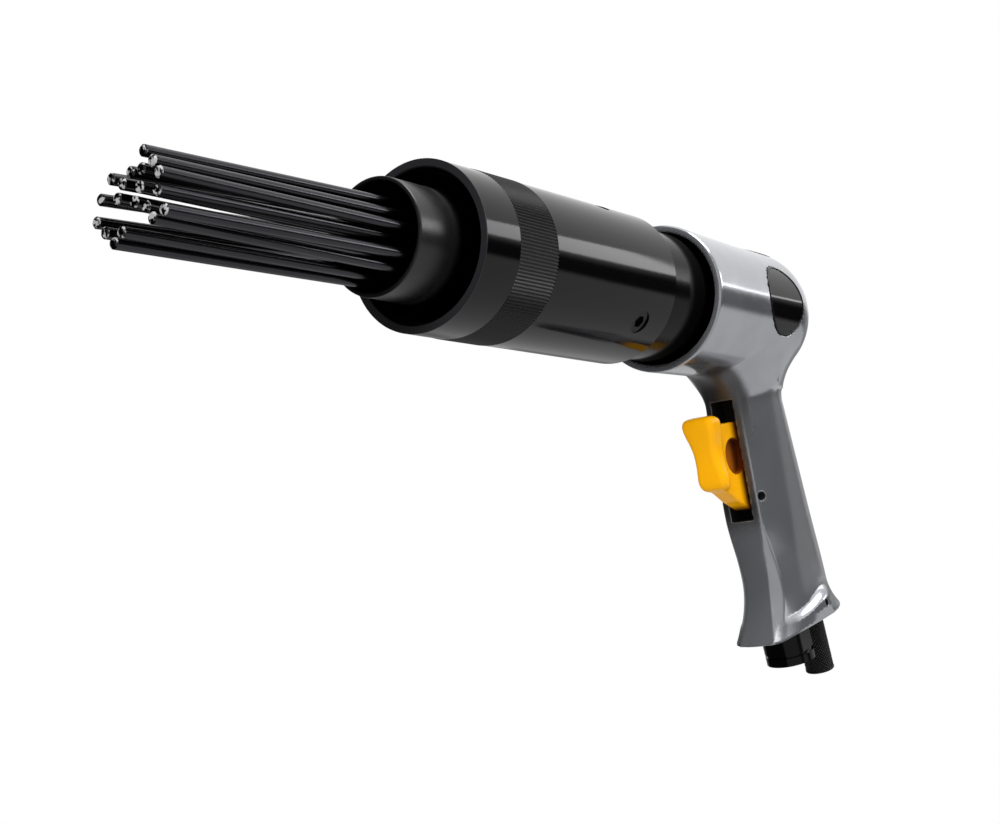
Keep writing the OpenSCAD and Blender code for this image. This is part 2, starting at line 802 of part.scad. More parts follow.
housing();
barrel();
barrel_gasket();
valve_plate();
valve_body();
valve_disc();
piston();
anvil();
needle_holder();
return_spring();
rear_sleeve();
front_collar();
nozzle();
set_screws();
top_cap();
label_plate();
trigger();
trigger_pin();
throttle_bush();
throttle_stem();
throttle_washer();
throttle_spring();
inlet_bushing();
inlet_washer();
inlet_strainer();
regulator();
regulator_seal();
regulator_pin();
inlet_pin();
needle(0);  // needle_01
needle(1);  // needle_02
needle(2);  // needle_03
needle(3);  // needle_04
needle(4);  // needle_05
needle(5);  // needle_06
needle(6);  // needle_07
needle(7);  // needle_08
needle(8);  // needle_09
needle(9);  // needle_10
needle(10);  // needle_11
needle(11);  // needle_12
needle(12);  // needle_13
needle(13);  // needle_14
needle(14);  // needle_15
needle(15);  // needle_16
needle(16);  // needle_17
needle(17);  // needle_18
needle(18);  // needle_19
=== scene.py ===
import json
import math
import bpy
import numpy as np
from mathutils import Matrix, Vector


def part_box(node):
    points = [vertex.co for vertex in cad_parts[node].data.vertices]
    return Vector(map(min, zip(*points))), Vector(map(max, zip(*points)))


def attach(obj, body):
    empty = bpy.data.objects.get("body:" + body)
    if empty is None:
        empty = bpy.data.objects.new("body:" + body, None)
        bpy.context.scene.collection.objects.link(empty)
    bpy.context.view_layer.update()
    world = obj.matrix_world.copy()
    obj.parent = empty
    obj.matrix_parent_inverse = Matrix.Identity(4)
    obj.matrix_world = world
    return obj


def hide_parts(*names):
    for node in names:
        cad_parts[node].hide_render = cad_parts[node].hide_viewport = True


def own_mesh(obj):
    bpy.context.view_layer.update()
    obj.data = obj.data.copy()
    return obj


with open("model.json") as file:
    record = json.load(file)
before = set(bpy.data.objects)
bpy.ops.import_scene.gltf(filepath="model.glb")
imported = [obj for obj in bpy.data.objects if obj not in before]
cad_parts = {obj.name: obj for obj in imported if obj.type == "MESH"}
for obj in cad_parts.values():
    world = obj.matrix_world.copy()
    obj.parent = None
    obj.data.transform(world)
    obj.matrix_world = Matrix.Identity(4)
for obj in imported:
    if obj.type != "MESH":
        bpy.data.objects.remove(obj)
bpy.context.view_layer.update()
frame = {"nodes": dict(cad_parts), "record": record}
mm = 0.001  # shapes are worked out in millimetres

# Places that several pieces share, as in the part's source: x runs along the head's axis

handle = dict(x=-160.0, tilt=10.0, length=120.0)  # t counts forward of its axis line, s down along it
foot = dict(tilt=6.0, inletT=-15.5, knobPlace=-20.5)  # the knob stands behind the inlet
triggerPin = dict(t=-2.6, s=70.0)
throttleS = 54.0
capSeat = dict(x=-190.0, r=12.5, floor=23.1)
labelSeat = dict(x=-177.5, z=1.0, r=12.8, floor=24.0)


# Small helpers on arrays

def ease(s, a, b):  # smooth step from 0 to 1 between a and b
    return 0.5 - 0.5 * np.cos(np.pi * np.clip((s - a) / (b - a), 0, 1))


def between(s, rise, fall):  # rises from 0 to 1 over one stretch and falls back over the other
    level = ease(s, *rise) if rise else 1
    return level * (1 - ease(s, *fall)) if fall else level


def flare(s, a):  # square of the way from a to the handle's foot
    return np.clip((s - a) / (handle["length"] - a), 0, None) ** 2


def slab(s, low, high):  # distance to the layer between low and high
    return np.maximum(low - s, s - high)


def roundMax(a, b, r):  # intersection with an edge rounded to r
    return np.minimum(-r, np.maximum(a, b)) + np.hypot(np.maximum(r + a, 0), np.maximum(r + b, 0))


def roundMin(a, b, r):  # union with a fillet of radius r
    return np.maximum(r, np.minimum(a, b)) - np.hypot(np.maximum(r - a, 0), np.maximum(r - b, 0))


def ellipseField(a, b, radiusA, radiusB):  # about the distance to an ellipse: its level over its slope
    level = np.maximum(np.hypot(a / radiusA, b / radiusB), 0.05)  # both are kept off zero
    slope = np.maximum(np.hypot(a / radiusA ** 2, b / radiusB ** 2), 0.0001)
    return (level - 1) * level / slope


def polygonField(px, py, points):  # signed distance to a closed polygon
    best = np.full(px.shape, np.inf)
    sign = np.ones(px.shape)
    for (ax, ay), (bx, by) in zip(points, np.roll(points, -1, axis=0)):
        ex, ey = bx - ax, by - ay
        wx, wy = px - ax, py - ay
        along = np.clip((wx * ex + wy * ey) / (ex * ex + ey * ey), 0, 1)
        best = np.minimum(best, (wx - ex * along) ** 2 + (wy - ey * along) ** 2)
        over = (ay <= py) != (by <= py)
        left = (ex * wy - ey * wx > 0) == (ey > 0)
        sign = np.where(over & left, -sign, sign)
    return sign * np.sqrt(best)


def turn(x, z, degrees):  # coordinates in a frame leant by so many degrees
    c, s = math.cos(math.radians(degrees)), math.sin(math.radians(degrees))
    return x * c - z * s, x * s + z * c


def toHandle(x, z):  # forward of the handle's axis line, and down along it
    t, up = turn(x - handle["x"], z, handle["tilt"])
    return t, -up


def toFoot(t, s):  # forward of the inlet's axis, and up from the foot's face
    return turn(t - foot["inletT"], handle["length"] - s, foot["tilt"])


# Meshes from fields

net = dict(pulls=5, leastSlope=0.05, gap=0.02)


def gradient(field, points):  # difference of the field over a small gap along each axis
    grade = np.zeros_like(points)
    for i in range(3):
        shift = np.zeros(3)
        shift[i] = net["gap"]
        grade[:, i] = (field(*(points + shift).T) - field(*(points - shift).T)) / (2 * net["gap"])
    return grade


def netPoints(value, cells, corners):  # mean of the places where the cell's edges cross the zero surface
    place = np.zeros((len(cells), 3))
    crossings = np.zeros((len(cells), 1))
    for a in corners:
        for axis in range(3):
            if a[axis]:
                continue
            b = np.array(a)
            b[axis] = 1
            va = value[tuple((cells + a).T)].astype(float)
            vb = value[tuple((cells + b).T)].astype(float)
            cross = (va < 0) != (vb < 0)
            share = np.where(cross, va / np.where(cross, va - vb, 1), 0)
            place += cross[:, None] * (np.array(a) + share[:, None] * (b - a))
            crossings += cross[:, None]
    return place / crossings


def netQuads(inside, index):  # one face round each grid edge that crosses, through the four cells about it
    count = inside.shape
    quads = []
    for d in range(3):
        u, v = (d + 1) % 3, (d + 2) % 3
        lower = inside.take(range(count[d] - 1), axis=d)
        upper = inside.take(range(1, count[d]), axis=d)
        edge = np.argwhere(lower != upper)
        for other in (u, v):
            edge = edge[(edge[:, other] > 0) & (edge[:, other] < count[other] - 1)]
        ring = []
        for du, dv in ((0, 0), (-1, 0), (-1, -1), (0, -1)):
            cell = edge.copy()
            cell[:, u] += du
            cell[:, v] += dv
            ring.append(index[tuple(cell.T)])
        ring = np.stack(ring, 1)
        flip = ~lower[tuple(edge.T)]
        ring[flip] = ring[flip][:, ::-1]
        quads.append(ring)
    return np.concatenate(quads)


def surfaceNet(field, low, high, step):
    # One point per grid cell that the zero surface crosses, then pulled onto it along the gradient
    low = np.array(low, float)
    count = np.ceil((np.array(high) - low) / step).astype(int) + 1
    axes = [(low[i] + step * np.arange(count[i])).astype(np.float32) for i in range(3)]
    value = field(*np.meshgrid(*axes, indexing="ij"))
    inside = value < 0
    total = np.zeros(count - 1, np.int8)
    corners = [(i, j, k) for i in (0, 1) for j in (0, 1) for k in (0, 1)]
    for i, j, k in corners:
        total += inside[i:count[0] - 1 + i, j:count[1] - 1 + j, k:count[2] - 1 + k]
    cells = np.argwhere((total > 0) & (total < len(corners)))
    index = np.full(count - 1, -1)
    index[tuple(cells.T)] = np.arange(len(cells))
    points = low + step * (cells + netPoints(value, cells, corners))
    for _ in range(net["pulls"]):
        grade = gradient(field, points)
        steep = np.maximum((grade ** 2).sum(1, keepdims=True), net["leastSlope"])
        points -= np.clip(field(*points.T)[:, None] * grade / steep, -step / 2, step / 2)
    grade = gradient(field, points)
    return points, netQuads(inside, index).tolist(), grade / np.linalg.norm(grade, axis=1, keepdims=True)


def addObject(name, data):
    made = bpy.data.objects.new(name, data)
    bpy.context.scene.collection.objects.link(made)
    return made


def addPiece(name, node, body, points, faces, normals):
    mesh = bpy.data.meshes.new(name)
    mesh.from_pydata((points * mm).tolist(), [], faces)
    mesh.shade_smooth()
    mesh.normals_split_custom_set_from_vertices(normals.tolist())
    mesh.materials.append(materials[slots[node]])
    piece = addObject(name, mesh)
    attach(piece, body)
    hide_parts(node)
    print("piece", name, len(points), "points")
    return piece


def addTone(mesh, name, values):  # a value per point that the materials read
    mesh.attributes.new(name, "FLOAT", "POINT").data.foreach_set("value", values)


# Materials

class Sock:
    # A node output that takes part in sums and products
    def __init__(self, tree, out=None):
        self.tree, self.out = tree, out

    def put(self, target, value):
        if isinstance(value, Sock):
            self.tree.links.new(value.out, target)
        else:
            target.default_value = value

    def node(self, kind, out=0, inputs=None, **settings):
        made = self.tree.nodes.new(kind)
        for key, value in settings.items():
            setattr(made, key, value)
        for key, value in (inputs or {}).items():
            self.put(made.inputs[key], value)
        return Sock(self.tree, made.outputs[out])

    def math(self, operation, a, b):
        return self.node("ShaderNodeMath", 0, {0: a, 1: b}, operation=operation)

    def __add__(self, other):
        return self.math("ADD", self, other)

    def __radd__(self, other):
        return self.math("ADD", other, self)

    def __sub__(self, other):
        return self.math("SUBTRACT", self, other)

    def __rsub__(self, other):
        return self.math("SUBTRACT", other, self)

    def __mul__(self, other):
        return self.math("MULTIPLY", self, other)

    def __rmul__(self, other):
        return self.math("MULTIPLY", other, self)

    def ramp(self, low, high):  # 0 below low, 1 above high
        return self.node("ShaderNodeMapRange", 0, {0: self, 1: low, 2: high}, interpolation_type="SMOOTHSTEP")

    def mixColor(self, first, second):  # from the first colour to the second as this value goes from 0 to 1
        a, b = (color if isinstance(color, Sock) else (*color, 1) for color in (first, second))
        return self.node("ShaderNodeMix", 2, {0: self, 6: a, 7: b}, data_type="RGBA")

    def tone(self, name):  # a value that a mesh holds for each point
        return self.node("ShaderNodeAttribute", 2, attribute_name=name)


def newMaterial(name):
    material = bpy.data.materials.new(name)
    material.use_nodes = True
    shader = material.node_tree.nodes["Principled BSDF"]
    start = Sock(material.node_tree)
    place = start.node("ShaderNodeTexCoord", "Object")
    return material, shader, start, place


hollowBand = (0.65, 0.95)  # the tone named inner counts as inside a hole past these values
baseLook = dict(
    cloudScale=60.0, cloudDetail=3.0, cloudBand=(0.3, 0.7), change=0.06,  # colour
    fineScale=500.0, fineDetail=2.0, rough=0.25, roughChange=0.1, ripple=0.15, rippleHeight=0.00003,
    metal=0.0, specular=0.5,
    hollow=None, hollowRough=0.6, cast=None, castRough=0.25, rub=None,  # colours of tones on the mesh
    knurl=None, knurlEdge=0.0002, knurlRough=0.3,  # places in metres along the tool, and what changes there
    rimBand=(-0.0005, -0.0001), rimColor=(0.016, 0.016, 0.018), rimRough=0.3,
    deep=None, deepShade=(0.0003, 0.0003, 0.0003), deepRough=0.8,
    tip=None, tipEdge=0.0002, tornScale=900.0, tornDetail=1.0, tornBand=(0.45, 0.6),
    bareColor=(0.5, 0.5, 0.5), bareRough=0.25, bareLessMetal=0.7)
blackLook = dict(baseLook, color=(0.0015, 0.0015, 0.0017), rough=0.1, roughChange=0.05, specular=0.25)
looks = {
    # The paint's colour for holes and its darker colour for corners are painted shade; its lighter colour is
    # a painted sheen on the back of the handle
    "paint": dict(
        baseLook, color=(0.44, 0.45, 0.48), metal=0.82, rough=0.15, ripple=0.25, hollow=(0.004, 0.004, 0.004),
        cast=(0.12, 0.12, 0.126), rub=(0.68, 0.69, 0.72)),
    "black": blackLook,
    "black_knurl": dict(blackLook, knurl=-0.0155),
    # The barrel's neck and the nozzle are painted near black towards their backs, as painted shade of the
    # dark gaps they sink into
    "black_matte": dict(blackLook, rough=0.2, roughChange=0.1, specular=0.1, deep=(-0.1175, -0.112)),
    # The knob's lighter knurl crests are wear and also a painted glint
    "black_steel": dict(
        baseLook, color=(0.008, 0.008, 0.009), metal=0.6, rough=0.2, specular=0.25, rub=(0.25, 0.25, 0.26)),
    "black_satin": dict(baseLook, color=(0.006, 0.006, 0.0065), rough=0.3, deep=(0.0, 0.006)),
    "needle_steel": dict(baseLook, color=(0.05, 0.05, 0.055), metal=1.0, rough=0.22, tip=0.1034),
    "steel": dict(baseLook, color=(0.55, 0.55, 0.57), metal=1.0, rough=0.3),
    # The trigger's darker pocket and its darker web in the slot are painted shade
    "trigger_plastic": dict(
        baseLook, color=(1.0, 0.45, 0.0), change=0.02, rough=0.22, specular=0.2, hollow=(0.42, 0.11, 0.0),
        cast=(0.08, 0.012, 0.0)),
    "rubber": dict(baseLook, color=(0.006, 0.006, 0.006), rough=0.6, specular=0.2),
    "brass": dict(baseLook, color=(0.7, 0.52, 0.22), metal=1.0, rough=0.3),
    "label": dict(blackLook, rough=0.06, roughChange=0.03),
}
ownLooks = {"nozzle": "black_satin", "front_collar": "black_knurl"}  # unlike the rest of their slot


def noise(start, place, scale, detail):
    return start.node("ShaderNodeTexNoise", 0, {"Vector": place, "Scale": scale, "Detail": detail})


def finish(name, look):
    # A colour with faint cloudy change, uneven gloss and a fine ripple of the surface
    material, shader, start, place = newMaterial(name)
    cloud = noise(start, place, look["cloudScale"], look["cloudDetail"])
    fine = noise(start, place, look["fineScale"], look["fineDetail"])
    dark, light = ([c * (1 + way * look["change"]) for c in look["color"]] for way in (-1, 1))
    color = cloud.ramp(*look["cloudBand"]).mixColor(dark, light)
    rough = look["rough"] + (fine - 0.5) * look["roughChange"]
    metal = look["metal"]
    if look["hollow"]:  # painted shade: bores, slots and pockets stay darker and duller
        inner = start.tone("inner").ramp(*hollowBand)
        color = inner.mixColor(color, look["hollow"])
        rough = rough + inner * look["hollowRough"]
        metal = (1 - inner) * metal
    if look["cast"]:  # painted shade: corners where shade falls, the strip beside the slot, and places whose reflection is damped are darker and duller
        cast = start.tone("cast")
        color = cast.mixColor(color, look["cast"])
        rough = rough + cast * look["castRough"]
    if look["rub"]:  # the back of the handle's sides is lighter as a painted sheen, and the knob's knurl crests are lighter from wear and as a painted glint
        color = start.tone("rub").mixColor(color, look["rub"])
    if look["knurl"]:  # the ridged band behind this place is duller, and the rim's turned face is greyer
        forward = start.node("ShaderNodeSeparateXYZ", "X", {0: place})
        plain = forward.ramp(look["knurl"] - look["knurlEdge"], look["knurl"])
        rim = forward.ramp(*look["rimBand"])
        color = rim.mixColor(color, look["rimColor"])
        rough = rough + (1 - plain) * look["knurlRough"] + rim * look["rimRough"]
    if look["deep"]:  # painted shade: behind these places the piece is painted near black and dull, for the shade of the dark gap it sinks into
        forward = start.node("ShaderNodeSeparateXYZ", "X", {0: place})
        deep = 1 - forward.ramp(*look["deep"])
        color = deep.mixColor(color, look["deepShade"])
        rough = rough + deep * look["deepRough"]
        metal = deep
    if look["tip"]:  # sheared end faces past this place show bare steel in patches
        forward = start.node("ShaderNodeSeparateXYZ", "X", {0: place})
        torn = noise(start, place, look["tornScale"], look["tornDetail"]).ramp(*look["tornBand"])
        bare = forward.ramp(look["tip"], look["tip"] + look["tipEdge"]) * torn
        color = bare.mixColor(color, look["bareColor"])
        rough = rough + bare * look["bareRough"]
        metal = metal - bare * look["bareLessMetal"]
    ripple = {"Strength": look["ripple"], "Distance": look["rippleHeight"], "Height": fine}
    start.put(shader.inputs["Base Color"], color)
    start.put(shader.inputs["Roughness"], rough)
    start.put(shader.inputs["Metallic"], metal)
    start.put(shader.inputs["Normal"], start.node("ShaderNodeBump", 0, ripple))
    start.put(shader.inputs["Specular IOR Level"], look["specular"])
    return material


materials = {name: finish(name, look) for name, look in looks.items()}
slots = {part["node"]: part["material_slot"] for part in frame["record"]["subparts"]}
for node, slotName in slots.items():
    cadNode = frame["nodes"][node]
    cadNode.data.materials.clear()
    cadNode.data.materials.append(materials[ownLooks.get(node, slotName)])
print("materials", len(materials))


# Housing: domed cylinder and wedge-shaped handle joined by a fillet, with the bores and the slot cut out

housing = dict(
    box=((-236, -27.5, -128), (-126, 27.5, 27)), step=0.72,
    headR=24.6, domeX=-188.5, mouthX=-127.5, mouthEdge=1.2,
    rise=1.0, riseLength=40.0, risePower=1.3,  # the head widens towards its mouth
    bores=((23.0, -141.0, 0.5), (20.0, -165.0, 0.1), (16.45, -203.0, 0.1)),  # radius, floor and edge
    slotTop=34.0, slotBottom=78.0, slotFloor=-9.0, slotHalf=4.3, slotEdge=0.45,
    throttleR=3.8, throttleBack=-26.3, throttleOver=1.0,
    footBores=((0.0, 7.4, 20.3), (foot["knobPlace"], 3.25, 13.3)),  # place, radius and depth
    lockPins=((foot["knobPlace"] + 3.3, 5.0, -1), (-7.8, 5.5, 1)),  # place, height and side
    lockR=1.2, lockDepth=7.3, pinR=1.5, pinEdge=0.25, plainEdge=0.1,
    top=2.0, fillet=11.0, footEdge=0.9,
    front=0.7, dip=2.4, dipAt=(76, 100), toe=8.0, toeFrom=100,
    frontEdge=0.5, frontEdgeMore=2.5, frontEdgeAt=(78, 115),
    crown=1.7, crownLess=0.9, crownAt=((34, 46), (74, 94)), crease=7.1, creaseOut=2.0,
    back=-31.0, backLean=0.16, heel=8.0, heelFrom=106, heelOut=3.0,
    widest=0.58, half=13.5, shoulder=0.7, shoulderT=-14.0, shoulderAt=(31.4, 32.4),
    flankArc=75.0, flankEnds=(-0.6, 1.1), flankSlope=0.93, softFront=6.0, softBack=8.0,
    lipOut=3.0, lipTop=4.5, lipRise=2.5, lipRiseAt=(8, 24), lipFade=2.5, lipFadeMore=2.5, lipFadeAt=(14, 26),
    tuckTop=4.0, tuckOver=5.0)
# Painted light on the housing: the first four patches below are painted shade, darker and duller under the
# head, beside the slot, at the heel and at the toe; the last is a painted sheen, lighter on the back of the
# handle's sides
paintedLightPatches = dict(  # how strong each patch is, and where it rises and falls
    crotch=dict(strength=1.0, t=((-7, -3), (13, 19)), side=(None, (8, 10.5)), s=(None, (36, 60))),
    strip=dict(strength=1.0, t=((-1.5, -0.5), None), side=(None, (6.6, 7.2)), s=((34, 40), (74, 86))),
    heel=dict(strength=0.6, behind=((20, 26), (34, 37)), up=((5.5, 7.5), (13, 16))),
    toe=dict(strength=0.7, t=((-8, -4), None), side=((6, 8), None), up=(None, (4, 7))),
    backSheen=dict(strength=1.0, behind=((13, 16.5), None), side=((5, 8), None), s=((28, 38), (104, 112))))


def housingCuts(x, y, z):  # each hole's field and the rounding of its edge
    h = housing
    r = np.hypot(y, z)
    t, s = toHandle(x, z)
    forward, up = toFoot(t, s)
    cuts = [(np.maximum(r - radius, floor - x), edge) for radius, floor, edge in h["bores"]]
    slot = np.maximum(np.abs(y) - h["slotHalf"], slab(s, h["slotTop"], h["slotBottom"]))
    cuts.append((np.maximum(slot, h["slotFloor"] - t), h["slotEdge"]))
    cuts.append((np.hypot(t - triggerPin["t"], s - triggerPin["s"]) - h["pinR"], h["pinEdge"]))
    throttle = slab(t, h["throttleBack"], h["slotFloor"] + h["throttleOver"])
    cuts.append((np.maximum(np.hypot(s - throttleS, y) - h["throttleR"], throttle), h["plainEdge"]))
    for place, radius, depth in h["footBores"]:
        cuts.append((np.maximum(np.hypot(forward - place, y) - radius, up - depth), h["plainEdge"]))
    for place, height, way in h["lockPins"]:
        lock = np.hypot(forward - place, up - height) - h["lockR"]
        cuts.append((np.maximum(lock, -h["lockDepth"] - way * y), h["pinEdge"]))
    skin = np.hypot(r, np.minimum(x - h["domeX"], 0))
    cap = np.maximum(np.hypot(x - capSeat["x"], y) - capSeat["r"], capSeat["floor"] - skin)
    cuts.append((np.maximum(cap, -z), h["plainEdge"]))
    label = np.hypot(x - labelSeat["x"], z - labelSeat["z"]) - labelSeat["r"]
    cuts.append((np.maximum(np.maximum(label, labelSeat["floor"] - r), -y), h["plainEdge"]))
    return cuts


def handleHalf(t, s, up, widest):
    # Half width: a plain width, a shoulder at its top, and a lip at the foot that turns into a flare behind
    h = housing
    level = s + math.tan(math.radians(handle["tilt"])) * (t - h["shoulderT"])
    shoulder = h["shoulder"] * (1 - ease(level, *h["shoulderAt"]))
    lipTop = h["lipTop"] + h["lipRise"] * ease(-t, *h["lipRiseAt"])
    fade = h["lipFade"] + h["lipFadeMore"] * ease(-t, *h["lipFadeAt"])
    tuck = np.clip((h["tuckTop"] - up) / h["tuckOver"], 0, 1)
    lip = h["lipOut"] * (1 - ease(up, lipTop, lipTop + fade)) - tuck
    soft = ease(t, widest + h["softFront"], widest - h["softBack"])
    return h["half"] + shoulder + (1 - soft) * lip + soft * h["heelOut"] * flare(s, h["heelFrom"])


def handleField(x, y, z):
    # Half an ellipse behind the widest place, a sine from there to the crease, and a crowned front
    h = housing
    t, s = toHandle(x, z)
    up = toFoot(t, s)[1]
    side = np.abs(y)
    front = h["front"] - h["dip"] * ease(s, *h["dipAt"]) + h["toe"] * flare(s, h["toeFrom"])
    back = h["back"] - h["backLean"] * (s - h["slotTop"]) - h["heel"] * flare(s, h["heelFrom"])
    crown = h["crown"] - h["crownLess"] * between(s, *h["crownAt"])
    crease = h["crease"] + h["creaseOut"] * flare(s, h["toeFrom"])
    corner = front - crown
    widest = front - h["widest"] * (front - back)
    half = handleHalf(t, s, up, widest)
    arc = math.radians(h["flankArc"])
    share = np.clip((corner - t) / (corner - widest), *h["flankEnds"])
    flank = (side - crease - (half - crease) * np.sin(share * arc) / math.sin(arc)) * h["flankSlope"]
    section = np.where(t < widest, ellipseField(t - widest, side, widest - back, half), flank)
    edge = h["frontEdge"] + h["frontEdgeMore"] * ease(s, *h["frontEdgeAt"])
    section = roundMax(section, t - front + crown * (side / crease) ** 2, edge)
    return np.maximum(roundMax(section, -up, h["footEdge"]), h["top"] - s)


def housingField(x, y, z):
    # A cylinder with a ball for its end, which widens to the mouth, joined to the handle, less each hole
    h = housing
    rise = h["rise"] * np.clip((x - h["mouthX"] + h["riseLength"]) / h["riseLength"], 0, 1) ** h["risePower"]
    head = np.hypot(np.hypot(y, z), np.minimum(x - h["domeX"], 0)) - h["headR"] - rise
    head = roundMax(head, x - h["mouthX"], h["mouthEdge"])
    body = roundMin(head, handleField(x, y, z), h["fillet"])
    for cut, edge in housingCuts(x, y, z):
        body = roundMax(body, -cut, edge)
    return body


def patchTone(places, patch):  # product of the patch's rises and falls along each measure that it names
    tone = patch["strength"]
    for measure, place in places.items():
        if measure in patch:
            tone = tone * between(place, *patch[measure])
    return tone


points, faces, normals = surfaceNet(housingField, *housing["box"], housing["step"])
housingSkin = addPiece("housing_skin", "housing", "tool", points, faces, normals)
handleT, handleS = toHandle(points[:, 0], points[:, 2])
places = dict(
    t=handleT, behind=-handleT, s=handleS, side=np.abs(points[:, 1]), up=toFoot(handleT, handleS)[1])
# Tones for the paint: painted shade in the holes, painted shade in the patches, and a painted sheen
inner = np.max([1 - np.abs(cut) for cut, edge in housingCuts(*points.T)], axis=0).clip(0, 1)
paintedLight = {name: patchTone(places, patch) for name, patch in paintedLightPatches.items()}
paintedShade = np.max([paintedLight[name] for name in ("crotch", "strip", "heel", "toe")], axis=0)
addTone(housingSkin.data, "inner", inner)
addTone(housingSkin.data, "cast", paintedShade * (1 - ease(inner, *hollowBand)))
addTone(housingSkin.data, "rub", paintedLight["backSheen"])


# Label plate: round piece of the head's curve with a thin raised rim, left bare

labelPlate = dict(
    box=((-191, 19, -12.5), (-164, 25.5, 14.5)), step=0.22,
    gap=0.05, rim=0.55, face=24.62, top=24.9, edge=0.25, rimEdge=0.12, nearest=5.0)


def labelField(x, y, z):
    # The layer from seat to top within a round edge, less the layer above the face inside the rim
    p = labelPlate
    r = np.hypot(y, z)
    out = np.hypot(x - labelSeat["x"], z - labelSeat["z"]) - labelSeat["r"] + p["gap"]
    plate = roundMax(r - p["top"], out, p["edge"])
    plate = np.maximum(np.maximum(plate, labelSeat["floor"] - r), p["nearest"] - y)
    return roundMax(plate, -np.maximum(out + p["rim"], p["face"] - r), p["rimEdge"])


addPiece("label_skin", "label_plate", "tool", *surfaceNet(labelField, *labelPlate["box"], labelPlate["step"]))


# Trigger: web with a round boss on its pin, and a waisted finger pad with a hollow front

trigger = dict(
    box=((-184, -7, -77), (-140, 7, -36)), step=0.4,
    web=[[-4, -63], [-4, -42], [14, -41.4], [15, -52], [14.5, -63.5], [13, -65.4], [6.5, -69.8]],  # t and -s
    padSide=[
        [12.6, -40.6], [14, -38], [17.5, -37], [20.6, -37.6], [21.7, -40], [21.2, -43], [20.2, -47],
        [19.2, -52], [18.5, -57], [18.2, -60.5], [17.6, -63], [15.8, -65], [13.4, -64.8], [12.2, -62.5]],
    padHalf=[  # y and -s
        [4.4, -36.8], [6.3, -39], [6.2, -43], [5, -48], [4.7, -52], [5.2, -57], [5.8, -61], [5.1, -64.6],
        [3, -65.6]],
    cornerCuts=2, webHalf=3.3, webEdge=0.7, bossR=4.2, bossArc=(-50, -220), bossPoints=15,
    padEdge=2.2, fillet=2.2, boreR=1.55, boreEdge=0.1,
    pocketT=3.0, pocketR=6.5, pocketWall=0.9, pocketEdge=0.4,
    shade=(-1.5, 4))  # painted shade: the web darkens over this stretch as it goes into the slot


def arcPoints(cx, cy, r, a, b, n):
    angle = np.radians(np.linspace(a, b, n))
    return np.stack([cx + r * np.cos(angle), cy + r * np.sin(angle)], 1)


def cornerCut(points, times):  # rounds a closed outline by cutting a quarter off both ends of each side
    for _ in range(times):
        after = np.roll(points, -1, axis=0)
        points = np.stack([0.75 * points + 0.25 * after, 0.25 * points + 0.75 * after], 1).reshape(-1, 2)
    return points


boss = arcPoints(
    triggerPin["t"], -triggerPin["s"], trigger["bossR"], *trigger["bossArc"], trigger["bossPoints"])
webOutline = np.concatenate([trigger["web"], boss])
padHalf = np.array(trigger["padHalf"])
padSide = cornerCut(np.array(trigger["padSide"]), trigger["cornerCuts"])
padFront = cornerCut(np.concatenate([padHalf, padHalf[::-1] * (-1, 1)]), trigger["cornerCuts"])


def triggerPocket(x, y, z):  # a round pocket from each side, with a thin wall between the two
    t, s = toHandle(x, z)
    k = trigger
    return np.maximum(np.hypot(t - k["pocketT"], s - throttleS) - k["pocketR"], k["pocketWall"] - np.abs(y))


def triggerField(x, y, z):
    # The web's outline within its half width, joined to the pad's side and front outlines where both hold
    k = trigger
    t, s = toHandle(x, z)
    web = roundMax(polygonField(t, -s, webOutline), np.abs(y) - k["webHalf"], k["webEdge"])
    pad = roundMax(polygonField(t, -s, padSide), polygonField(y, -s, padFront), k["padEdge"])
    both = roundMax(roundMin(web, pad, k["fillet"]), -triggerPocket(x, y, z), k["pocketEdge"])
    return roundMax(both, k["boreR"] - np.hypot(t - triggerPin["t"], s - triggerPin["s"]), k["boreEdge"])


points, faces, normals = surfaceNet(triggerField, *trigger["box"], trigger["step"])
triggerSkin = addPiece("trigger_skin", "trigger", "trigger", points, faces, normals)
# Painted shade in the pocket, and on the web where it goes into the slot
addTone(triggerSkin.data, "inner", (1 - np.abs(triggerPocket(*points.T))).clip(0, 1))
addTone(triggerSkin.data, "cast", 1 - ease(toHandle(points[:, 0], points[:, 2])[0], *trigger["shade"]))


# Regulator: knob with a diamond knurl, on a stem with two grooves

knob = dict(
    box=((-231, -6, -141), (-205, 6, -94)), step=0.22,
    r=5.5, low=-24.3, high=-0.8, edge=0.9, stemR=3.2, stemLow=-1.8, stemTop=13.0, stemEdge=0.2,
    grooves=((3.7, 6.3), (8.9, 10.5)), grooveR=2.0,
    starts=28, pitch=1.2, depth=0.5, plain=(0.6, 1.4), rub=(0.1, 0.5))


def knurl(forward, up, y):  # 1 on the grip, and how far each point lies below two crossing sets of ridges
    k = knob
    around = np.arctan2(y, forward - foot["knobPlace"]) * k["starts"] / (2 * np.pi)
    ridges = [np.abs(2 * ((around + way * up / k["pitch"]) % 1) - 1) for way in (1, -1)]
    grip = ease(up - k["low"], *k["plain"]) * ease(k["high"] - up, *k["plain"])
    return grip, 1 - np.minimum(*ridges)


def regulatorField(x, y, z):
    # A round bar less the depth of the knurl, on a thinner bar less a ring for each groove
    k = knob
    forward, up = toFoot(*toHandle(x, z))
    r = np.hypot(forward - foot["knobPlace"], y)
    grip, below = knurl(forward, up, y)
    grooved = r - k["r"] + k["depth"] * grip * below
    head = roundMax(grooved, slab(up, k["low"], k["high"]), k["edge"])
    stem = roundMax(r - k["stemR"], slab(up, k["stemLow"], k["stemTop"]), k["stemEdge"])
    for low, high in k["grooves"]:
        stem = np.maximum(stem, -np.maximum(k["grooveR"] - r, slab(up, low, high)))
    return np.minimum(head, stem)


